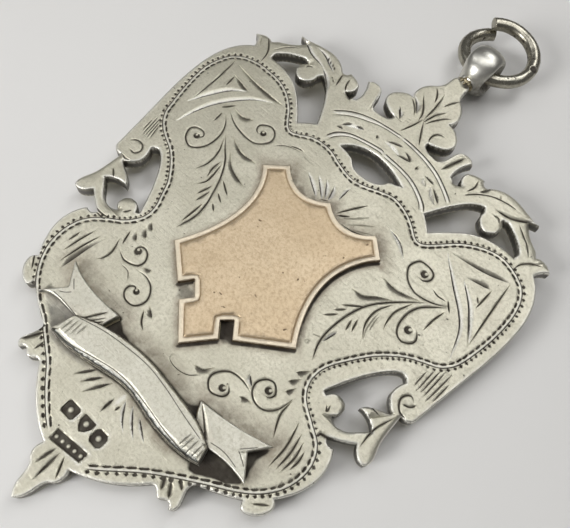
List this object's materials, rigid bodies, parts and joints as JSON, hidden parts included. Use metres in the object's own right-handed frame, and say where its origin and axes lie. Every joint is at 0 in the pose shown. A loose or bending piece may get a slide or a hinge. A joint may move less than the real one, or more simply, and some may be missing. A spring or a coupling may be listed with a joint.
{
  "type": "pocket watch fob",
  "caption": "Pierced and engraved silver shield fob with an applied rose-gold shield and a ribbon, hung from an eyelet and a swinging split ring.",
  "frame": {"origin": "on the line of symmetry, in the plane of the plate's back face, about halfway up the shield", "axes": "+Y towards the ring at the top, +Z out of the engraved face, +X to the right seen from the face"},
  "size_m": [0.0338, 0.0564, 0.0042],
  "materials": {
    "engraved_silver": "satin",
    "struck_silver": "satin",
    "bright_silver": "gloss",
    "worn_silver": "satin",
    "rose_gold": "satin",
    "solder": "matte"
  },
  "bodies": {
    "fob": {"base_plate": "engraved_silver", "cartouche": "rose_gold", "cartouche_solder": "solder", "ribbon_banner": "struck_silver", "ribbon_solder": "solder", "neck_solder": "solder", "suspension_loop": "bright_silver"},
    "ring": {"jump_ring": "worn_silver"}
  },
  "joints": [
    {"name": "ring_swing", "type": "hinge", "parent": "fob", "child": "ring", "pos_m": [0, 0.02599, 0.0006], "axis": [1, 0, 0], "range_deg": [-155, 155]}
  ]
}
